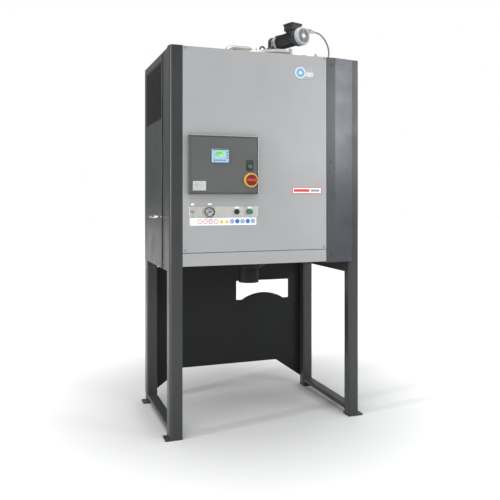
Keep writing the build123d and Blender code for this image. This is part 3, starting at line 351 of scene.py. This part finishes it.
# ---- mesh helpers ----
def piece(name, bm, body, material, bevel=0.0, angle=35):
    """Turns a bmesh into a smooth-shaded piece that rides on a body."""
    bmesh.ops.recalc_face_normals(bm, faces=bm.faces)
    mesh = bpy.data.meshes.new(name)
    bm.to_mesh(mesh)
    bm.free()
    mesh.materials.append(material)
    mesh.polygons.foreach_set("use_smooth", [True] * len(mesh.polygons))
    mesh.set_sharp_from_angle(angle=math.radians(angle))
    obj = bpy.data.objects.new(name, mesh)
    scene.collection.objects.link(obj)
    if bevel:
        rounding = obj.modifiers.new("edges", "BEVEL")
        rounding.width = bevel
        rounding.segments = 3
        rounding.limit_method = "ANGLE"
    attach(obj, body)
    return obj


def outline(width, height, radius, steps=6):
    """Points of a rounded rectangle round the origin."""
    points = []
    for sx, sz, start in ((1, 1, 0), (-1, 1, 90), (-1, -1, 180), (1, -1, 270)):
        cx, cz = sx * (width / 2 - radius), sz * (height / 2 - radius)
        for i in range(steps + 1):
            a = math.radians(start + 90 * i / steps)
            points.append((cx + radius * math.cos(a), cz + radius * math.sin(a)))
    return points


def prism(bm, points, centre, y_front, y_back):
    """A flat shape in X and Z, extruded along Y."""
    x, z = centre
    front = [bm.verts.new((x + px, y_front, z + pz)) for px, pz in points]
    back = [bm.verts.new((x + px, y_back, z + pz)) for px, pz in points]
    bm.faces.new(front)
    bm.faces.new(back)
    for i in range(len(points)):
        j = (i + 1) % len(points)
        bm.faces.new((front[i], front[j], back[j], back[i]))


def turned(bm, profile, origin, axis, steps=48):
    """A profile of (radius, distance along axis), spun round the axis."""
    axis = Vector(axis).normalized()
    side = axis.orthogonal().normalized()
    up = axis.cross(side)
    origin = Vector(origin)
    rings = []
    for radius, distance in profile:
        base = origin + axis * distance
        if radius <= 0:
            rings.append([bm.verts.new(base)])
            continue
        rings.append([
            bm.verts.new(base + side * (radius * math.cos(2 * math.pi * i / steps))
                         + up * (radius * math.sin(2 * math.pi * i / steps)))
            for i in range(steps)])
    for a, b in zip(rings, rings[1:]):
        for i in range(steps):
            j = (i + 1) % steps
            corners = [a[i % len(a)], a[j % len(a)], b[j % len(b)], b[i % len(b)]]
            distinct = list(dict.fromkeys(corners))
            if len(distinct) > 2:
                bm.faces.new(distinct)


def ring_loops(bm, loops):
    """Joins closed loops of equal length into a band."""
    rows = [[bm.verts.new(co) for co in loop] for loop in loops]
    for a, b in zip(rows, rows[1:]):
        for i in range(len(a)):
            j = (i + 1) % len(a)
            bm.faces.new((a[i], a[j], b[j], b[i]))


def annulus(bm, centre, outer, inner, y0, y1, steps=32):
    """A flat ring facing -Y."""
    x, z = centre
    circles = []
    for radius, y in ((inner, y1), (inner, y0), (outer, y0), (outer, y1)):
        circles.append([(x + radius * math.cos(2 * math.pi * i / steps), y,
                         z + radius * math.sin(2 * math.pi * i / steps)) for i in range(steps)])
    ring_loops(bm, circles)


# ---- control door ----
DOOR_LO, DOOR_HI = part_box("enclosure_door")
DOOR_Y = DOOR_LO.y
DOOR_MID = ((DOOR_LO.x + DOOR_HI.x) / 2, (DOOR_LO.z + DOOR_HI.z) / 2)
BEAD_PROFILE = ((0.2, 0.2), (1.4, 2.2), (4.0, 3.2), (7.5, 2.4), (9.5, 0.2))  # inset and rise in mm
BEAD_CORNER, HIGHLIGHT_STRIP_WIDTH, HIGHLIGHT_STRIP_INSET, HIGHLIGHT_STRIP_TRIM = 7 * MM, 2.6 * MM, 1.8 * MM, 12 * MM


def door_bead():
    """The rolled edge round the control door, with a painted highlight: a bright metal strip along its top
    and its right.
    """
    width, height = DOOR_HI.x - DOOR_LO.x, DOOR_HI.z - DOOR_LO.z
    loops = []
    for inset, rise in BEAD_PROFILE:
        points = outline(width - 2 * inset * MM, height - 2 * inset * MM, BEAD_CORNER)
        loops.append([(DOOR_MID[0] + x, DOOR_Y - rise * MM, DOOR_MID[1] + z) for x, z in points])
    bm = bmesh.new()
    ring_loops(bm, loops)
    piece("door_bead", bm, "control_door", BEAD_COAT, angle=60)
    # The strip along the top and the right is a painted highlight, not a part of the door.
    bm = bmesh.new()
    for centre, size in (((DOOR_MID[0], DOOR_HI.z - HIGHLIGHT_STRIP_INSET), (width - HIGHLIGHT_STRIP_TRIM, HIGHLIGHT_STRIP_WIDTH)),
                         ((DOOR_HI.x - HIGHLIGHT_STRIP_INSET, DOOR_MID[1]), (HIGHLIGHT_STRIP_WIDTH, height - HIGHLIGHT_STRIP_TRIM))):
        prism(bm, outline(*size, 1.2 * MM), centre, DOOR_Y - 3.5 * MM, DOOR_Y - 1.2 * MM)
    piece("door_highlight_strip", bm, "control_door", HIGHLIGHT_STRIP_METAL)


def keypad():
    """The operator panel's picture, its keys and its red lamp."""
    lo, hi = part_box("operator_panel")
    face = lo.y
    bm = bmesh.new()
    width, height = hi.x - lo.x - 34.6 * MM, 27.6 * MM
    centre = (lo.x + 14 * MM + width / 2 + 0.3 * MM, hi.z - 26 * MM)
    prism(bm, outline(width, height, 1 * MM), centre, face + 1.0 * MM, face + 1.5 * MM)
    piece("display_picture", bm, "control_door", DISPLAY)
    bm = bmesh.new()
    for row in range(3):
        length = (0.62, 0.8, 0.45)[row] * width
        prism(bm, outline(length, 2.2 * MM, 0.5 * MM),
              (centre[0] - (width - length) / 2 + 4 * MM, centre[1] + (7 - 7 * row) * MM),
              face + 0.8 * MM, face + 1.0 * MM)
    piece("display_lines", bm, "control_door", INK)
    bm = bmesh.new()
    for column in range(5):
        if column != 2:
            prism(bm, outline(9 * MM, 7 * MM, 2 * MM), (lo.x + (14 + 14 * column) * MM, lo.z + 12 * MM),
                  face - 0.9 * MM, face + 0.2 * MM)
    for row in range(3):
        prism(bm, outline(7 * MM, 8 * MM, 2 * MM), (hi.x - 9 * MM, hi.z - (18 + 14 * row) * MM),
              face - 0.9 * MM, face + 0.2 * MM)
    piece("panel_keys", bm, "control_door", SIGN_BLUE, 0.3 * MM)
    bm = bmesh.new()
    turned(bm, [(0, -1.8 * MM), (3 * MM, -1.4 * MM), (4.4 * MM, 0), (4.4 * MM, 0.5 * MM)],
           (lo.x + 42 * MM, face, lo.z + 12 * MM), (0, 1, 0), 24)
    piece("status_lamp", bm, "control_door", FINISHES["red_plastic"])
    bm = bmesh.new()
    prism(bm, outline(hi.x - lo.x - 6 * MM, 4 * MM, 1.5 * MM), ((lo.x + hi.x) / 2, hi.z - 3.5 * MM),
          face - 0.8 * MM, face + 0.2 * MM)
    piece("panel_top_trim", bm, "control_door", INK, 0.3 * MM)


def rating_plate():
    """A blank type plate with ruled lines, held by four rivets."""
    centre, width, height = (DOOR_LO.x + 56.5 * MM, DOOR_LO.z + 43.5 * MM), 71 * MM, 49 * MM
    bm = bmesh.new()
    prism(bm, outline(width, height, 2 * MM), centre, DOOR_Y - 0.8 * MM, DOOR_Y + 0.2 * MM)
    piece("rating_plate", bm, "control_door", PLATE_METAL, 0.25 * MM)
    bm = bmesh.new()
    for row in range(5):
        prism(bm, outline(width - 12 * MM, 0.7 * MM, 0.3 * MM), (centre[0], centre[1] + (14 - 7 * row) * MM),
              DOOR_Y - 0.95 * MM, DOOR_Y - 0.7 * MM)
    for column in (-12, 10):
        prism(bm, outline(0.7 * MM, 28 * MM, 0.3 * MM), (centre[0] + column * MM, centre[1]),
              DOOR_Y - 0.95 * MM, DOOR_Y - 0.7 * MM)
    piece("rating_plate_lines", bm, "control_door", GREY_INK)
    bm = bmesh.new()
    inset = 3.5 * MM
    for sx in (-1, 1):
        for sz in (-1, 1):
            spot = (centre[0] + sx * (width / 2 - inset), DOOR_Y - 0.8 * MM,
                    centre[1] + sz * (height / 2 - inset))
            turned(bm, [(0, -0.9 * MM), (1.1 * MM, -0.6 * MM), (1.6 * MM, 0)], spot, (0, 1, 0), 16)
    piece("rating_plate_rivets", bm, "control_door", FINISHES["zinc_steel"])


door_bead()
keypad()
rating_plate()


# ---- labels and badges: plain shapes only ----
FRONT_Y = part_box("front_panel")[0].y
LEFT_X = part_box("front_left_column")[0].x
# Centres are (x, z); the signs' is the first of the row.
SIGN_Z, SIGN_X, SIGN_PITCH = 1.137, LEFT_X + 162 * MM, 29.6 * MM
BAR_BADGE, BAR_BADGE_SIZE = (LEFT_X + 779.5 * MM, 1.3035), (179 * MM, 37 * MM)
ROUND_BADGE = (LEFT_X + 765 * MM, 1.958)
LABEL_FACE = FRONT_Y - 0.7 * MM


def sign_strip():
    """Plain rings, triangles and discs in a row on the long label."""
    z, y0, y1 = SIGN_Z, FRONT_Y - 1.1 * MM, LABEL_FACE
    red, amber, blue, white = bmesh.new(), bmesh.new(), bmesh.new(), bmesh.new()
    for i in range(11):
        x = SIGN_X + i * SIGN_PITCH
        if i < 4:
            annulus(red, (x, z), 12.5 * MM, 9.6 * MM, y0, y1)
            annulus(white, (x, z), 6.2 * MM, 4.6 * MM, y0, y1)
        elif i < 6:
            prism(amber, [(-13 * MM, -10.5 * MM), (13 * MM, -10.5 * MM), (0, 12 * MM)], (x, z), y0, y1)
        else:
            turned(blue, [(0, y0), (12.5 * MM, y0), (12.5 * MM, y1)], (x, 0, z), (0, 1, 0), 32)
            if i % 2 == 0:
                annulus(white, (x, z), 8.4 * MM, 5.2 * MM, y0 - 0.1 * MM, y1)
    piece("sign_rings", red, "cabinet", SIGN_RED)
    piece("sign_triangles", amber, "cabinet", SIGN_YELLOW)
    piece("sign_discs", blue, "cabinet", SIGN_BLUE)
    piece("sign_marks", white, "cabinet", PALE_INK)


def badges():
    """A red-framed bar badge, and a round one with a pale bar, all blank."""
    y0, y1 = FRONT_Y - 1.2 * MM, LABEL_FACE
    x, z = BAR_BADGE
    width, height = BAR_BADGE_SIZE
    bm = bmesh.new()
    loops = []
    for inset, y in ((0.5, y1), (0.5, y0), (4.5, y0), (4.5, y1)):
        points = outline(width - 2 * inset * MM, height - 2 * inset * MM, 2 * MM)
        loops.append([(x + px, y, z + pz) for px, pz in points])
    ring_loops(bm, loops)
    prism(bm, outline(96 * MM, 15 * MM, 1.5 * MM), (x - 32 * MM, z), y0, y1)
    piece("bar_badge_frame", bm, "cabinet", SIGN_RED)
    bm = bmesh.new()
    prism(bm, outline(52 * MM, 13 * MM, 1.5 * MM), (x + 50 * MM, z), y0, y1)
    piece("bar_badge_block", bm, "cabinet", GREY_INK)
    bm = bmesh.new()
    x, z = ROUND_BADGE
    disc = (x - 26 * MM, FRONT_Y, z + 1 * MM)
    turned(bm, [(26 * MM, -0.7 * MM), (26 * MM, -2.0 * MM), (28.5 * MM, -2.6 * MM), (31 * MM, -2.0 * MM),
                (31.5 * MM, -0.7 * MM)], disc, (0, 1, 0))
    turned(bm, [(0, -2.3 * MM), (7 * MM, -2.2 * MM), (9 * MM, -1.4 * MM)], disc, (0, 1, 0))
    piece("round_badge_rim", bm, "cabinet", BADGE_FIELD)
    bm = bmesh.new()
    turned(bm, [(0, -1.6 * MM), (26 * MM, -1.3 * MM), (26 * MM, -0.7 * MM)], disc, (0, 1, 0))
    piece("round_badge_disc", bm, "cabinet", BADGE_BLUE)
    bm = bmesh.new()
    prism(bm, outline(46 * MM, 24 * MM, 5 * MM), (x + 30 * MM, z - 6 * MM), FRONT_Y - 1.1 * MM, y1)
    piece("round_badge_bar", bm, "cabinet", BADGE_BAR, 0.2 * MM)


sign_strip()
badges()


# ---- gauge ----
TICKS, FIRST_TICK, TICK_STEP = 28, 225, 10  # angles in degrees, clockwise from the lower left


def gauge_dial():
    """A grey dial with a ring of ticks round three quarters of it."""
    lo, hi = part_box("gauge_case")
    x, z, radius = (lo.x + hi.x) / 2, (lo.z + hi.z) / 2, (hi.x - lo.x) / 2 - 3.2 * MM
    face = lo.y + 8.6 * MM
    bm = bmesh.new()
    annulus(bm, (x, z), radius, 1.5 * MM, face, face + 0.3 * MM, 48)
    piece("gauge_dial", bm, "cabinet", DIAL_WHITE)
    bm = bmesh.new()
    for i in range(TICKS):
        a = math.radians(FIRST_TICK - TICK_STEP * i)
        length, half_width = (7, 0.7) if i % 3 == 0 else (4.5, 0.35)
        inner, width = radius - length * MM, half_width * MM
        along_tick, across = Vector((math.cos(a), 0, math.sin(a))), Vector((-math.sin(a), 0, math.cos(a)))
        base = Vector((x, face - 0.15 * MM, z))
        outer = radius - 1.5 * MM
        corners = [base + along_tick * r + across * w
                   for r, w in ((inner, -width), (outer, -width), (outer, width), (inner, width))]
        top = [bm.verts.new(c) for c in corners]
        bottom = [bm.verts.new(c + Vector((0, 0.2 * MM, 0))) for c in corners]
        bm.faces.new(top)
        bm.faces.new(bottom)
        for k in range(4):
            bm.faces.new((top[k], top[(k + 1) % 4], bottom[(k + 1) % 4], bottom[k]))
    piece("gauge_ticks", bm, "cabinet", INK)


gauge_dial()


# ---- the motor's supply cable: its route in mm from the gland's tip ----
SUPPLY_LENGTH, SUPPLY_WIDTH = 0.3045, 0.010
GLAND_TIP = BOILER + AIM * 0.178 + SIDE * 0.168 + Vector((0, 0, 0.0655))
ROUTE = ((0, 0, 0), (26.6, 8.65, 0), (51, 14, -7), (73, 16, -24), (91, 16, -48), (104, 15, -77),
         (110, 14, -109), (106, 13, -141), (97, 12, -172), (90, 12, -203), (86, 12, -236))


def supply_cable():
    """The grey cable from the terminal box's gland, over and down through the roof."""
    curve = bpy.data.curves.new("supply_cable", "CURVE")
    curve.dimensions = "3D"
    spline = curve.splines.new("NURBS")
    spline.points.add(len(ROUTE) - 1)
    for point, step in zip(spline.points, ROUTE):
        point.co = (*(GLAND_TIP + Vector(step) * MM), 1)
    spline.order_u = 3
    spline.use_endpoint_u = True
    spline.resolution_u = 16
    curve.bevel_depth = SUPPLY_WIDTH / 2
    curve.bevel_resolution = 6
    curve.use_fill_caps = True
    curve.materials.append(FINISHES["cable_jacket"])
    obj = bpy.data.objects.new("supply_cable", curve)
    scene.collection.objects.link(obj)
    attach(obj, "cabinet")
    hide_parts("motor_cable")


supply_cable()


# ---- gearmotor: profiles are (radius, distance along the motor) in mm ----
FLANGE = ((31, 26.8), (37.4, 26.8), (37.4, 33), (36.4, 34), (36.4, 37), (37.4, 38), (37.4, 52),
          (38.4, 54), (38.4, 64.8), (30, 64.8))
LUG = ((0, 52.6), (9.3, 52.6), (9.3, 64.8), (0, 64.8))
LUG_SCREW = ((0, 47), (4.6, 47), (5, 47.6), (5, 52.6))
LUG_CIRCLE = 40 * MM
GUARD_RADII, GUARD_WIRE, GUARD_FACE = (16.5, 21.5, 26.5, 31.5, 36.5), 1.1 * MM, 274.2 * MM


def gear_flange():
    """The bare cast flange between gearbox and motor, with its lugs and screws."""
    bm = bmesh.new()
    turned(bm, [(r * MM, d * MM) for r, d in FLANGE], BOILER, AIM, 64)
    for i in range(4):
        a = math.radians(45 + 90 * i)
        centre = BOILER + SIDE * (LUG_CIRCLE * math.cos(a)) + UP * (LUG_CIRCLE * math.sin(a))
        turned(bm, [(r * MM, d * MM) for r, d in LUG], centre, AIM, 32)
        turned(bm, [(r * MM, d * MM) for r, d in LUG_SCREW], centre, AIM, 6)
    piece("gear_flange", bm, "cabinet", FINISHES["bare_aluminium"], 0.4 * MM)


def cowl_guard():
    """Wire rings and a bright hub cap on the fan cover's face."""
    bm = bmesh.new()
    face = GUARD_FACE
    for radius in GUARD_RADII:
        loops = []
        for k in range(9):
            b = 2 * math.pi * k / 8
            r, d = radius * MM + GUARD_WIRE * math.cos(b), face + GUARD_WIRE * math.sin(b)
            loops.append([BOILER + AIM * d + SIDE * (r * math.cos(2 * math.pi * i / 48))
                          + UP * (r * math.sin(2 * math.pi * i / 48)) for i in range(48)])
        ring_loops(bm, loops)
    piece("cowl_guard", bm, "cabinet", GREY_WIRE)
    bm = bmesh.new()
    turned(bm, [(0, face + 2.2 * MM), (7 * MM, face + 1.8 * MM), (12 * MM, face)], BOILER, AIM, 32)
    piece("cowl_hub", bm, "cabinet", PALE_INK)


gear_flange()
cowl_guard()


# ---- sheet screws: a pan head as (radius, height) in mm ----
SCREW_HEAD = ((0, 2.6), (3.4, 2.2), (5, 0.8), (5, -0.3), (0, -0.3))
SCREW_INSET = 14 * MM


def sheet_screws():
    """Pan-head screws round the edges of the right and rear sheets."""
    lo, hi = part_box("right_side_panel")
    bm = bmesh.new()
    inset, head = SCREW_INSET, [(r * MM, d * MM) for r, d in SCREW_HEAD]
    for i in range(5):
        z = lo.z + inset + (hi.z - lo.z - 2 * inset) * i / 4
        for y in (lo.y + inset, hi.y - inset):
            turned(bm, head, (hi.x, y, z), (1, 0, 0), 20)
    lo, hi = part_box("rear_upper_panel")
    for i in range(5):
        z = lo.z + inset + (hi.z - lo.z - 2 * inset) * i / 4
        for x in (lo.x + inset, hi.x - inset):
            turned(bm, head, (x, hi.y, z), (0, 1, 0), 20)
    for i in range(1, 4):
        x = lo.x + inset + (hi.x - lo.x - 2 * inset) * i / 4
        for z in (lo.z + inset, hi.z - inset):
            turned(bm, head, (x, hi.y, z), (0, 1, 0), 20)
    piece("sheet_screws", bm, "cabinet", FINISHES["zinc_steel"])


sheet_screws()


# ---- camera, floor and light ----
CAMERA_PLACE, CAMERA_TURN = (-1.276, -3.612, 1.270), math.radians(-19.58)
CAMERA_LENS, CAMERA_SENSOR, CAMERA_SHIFT, CAMERA_REACH = 45.86, 36, -0.107, 200
HORIZON_LIGHT, ZENITH_LIGHT, SUN_LIGHT = 0.12, 1.15, 2.0
SUN_SPREAD, SUN_DIRECTION = math.radians(42), Vector((0.15, 0.40, -1.0))
FLOOR_HALF, FLOOR_DROP = 25, 0.0005


def camera():
    """The photograph's viewpoint: a level camera, so that upright edges stay upright."""
    data = bpy.data.cameras.new("camera")
    data.lens = CAMERA_LENS
    data.sensor_width = CAMERA_SENSOR
    data.shift_y = CAMERA_SHIFT
    data.clip_end = CAMERA_REACH
    obj = bpy.data.objects.new("camera", data)
    obj.location = CAMERA_PLACE
    obj.rotation_euler = (math.radians(90), 0, CAMERA_TURN)
    scene.collection.objects.link(obj)
    scene.camera = obj


def floor():
    """A plain pale floor, with a painted shadow: darker close to the machine."""
    bm = bmesh.new()
    bmesh.ops.create_grid(bm, x_segments=8, y_segments=8, size=FLOOR_HALF)
    mesh = bpy.data.meshes.new("studio_floor")
    bm.to_mesh(mesh)
    bm.free()
    t = Tree("studio_floor")
    pale = t.mix(t.spread(t.noise(1.5, 3), 0.3, 0.7), (0.80, 0.80, 0.80), (0.83, 0.83, 0.83))
    reach = t.nodes.new("ShaderNodeVectorMath")
    reach.operation = "LENGTH"
    t.link(t.place, reach.inputs[0])
    # Painted shadow: the floor's colour darkens to grey towards the machine.
    shadow_fade = t.spread(reach.outputs["Value"], 0.45, 1.9)
    t.link(t.mix(shadow_fade, (0.42, 0.42, 0.42), pale), t.shader.inputs["Base Color"])
    t.shader.inputs["Roughness"].default_value = 0.6
    mesh.materials.append(t.material)
    obj = bpy.data.objects.new("studio_floor", mesh)
    obj.location.z = -FLOOR_DROP
    scene.collection.objects.link(obj)


def lamp(name, place, target, size, power, colour=(1, 1, 1)):
    """A rectangular area light, aimed at a target."""
    data = bpy.data.lights.new(name, "AREA")
    data.shape = "RECTANGLE"
    data.size, data.size_y = size
    data.energy = power
    data.color = colour
    obj = bpy.data.objects.new(name, data)
    obj.location = place
    obj.rotation_euler = (Vector(target) - Vector(place)).to_track_quat("-Z", "Y").to_euler()
    scene.collection.objects.link(obj)


def studio():
    """White surroundings, brighter overhead, a broad soft sun, one strip and two boxes of light."""
    world = bpy.data.worlds.new("studio")
    world.use_nodes = True
    nodes, links = world.node_tree.nodes, world.node_tree.links
    ground = nodes["Background"]
    ground.inputs["Color"].default_value = (1, 1, 1, 1)
    split = nodes.new("ShaderNodeSeparateXYZ")
    links.new(nodes.new("ShaderNodeTexCoord").outputs["Generated"], split.inputs["Vector"])
    height = nodes.new("ShaderNodeMapRange")
    height.inputs["To Min"].default_value = HORIZON_LIGHT
    height.inputs["To Max"].default_value = ZENITH_LIGHT
    links.new(split.outputs["Z"], height.inputs["Value"])
    level = nodes.new("ShaderNodeMix")
    links.new(nodes.new("ShaderNodeLightPath").outputs["Is Camera Ray"], level.inputs["Factor"])
    links.new(height.outputs["Result"], level.inputs["A"])
    level.inputs["B"].default_value = 1.0
    links.new(level.outputs["Result"], ground.inputs["Strength"])
    scene.world = world
    sun = bpy.data.lights.new("ceiling", "SUN")
    sun.energy = SUN_LIGHT
    sun.angle = SUN_SPREAD
    ceiling = bpy.data.objects.new("ceiling", sun)
    ceiling.rotation_euler = SUN_DIRECTION.to_track_quat("-Z", "Y").to_euler()
    scene.collection.objects.link(ceiling)
    lamp("left_strip", (-4.2, -1.15, 1.9), (-0.56, -0.36, 1.5), (0.16, 2.6), 110)
    lamp("right_box", (2.85, -3.25, 2.25), (0.5, -0.35, 1.8), (1.5, 1.3), 76, (0.90, 0.95, 1.0))
    lamp("side_box", (3.8, -0.5, 2.5), (0.45, -0.35, 1.9), (1.7, 1.8), 40)
    scene.view_settings.view_transform = "Standard"


camera()
floor()
studio()
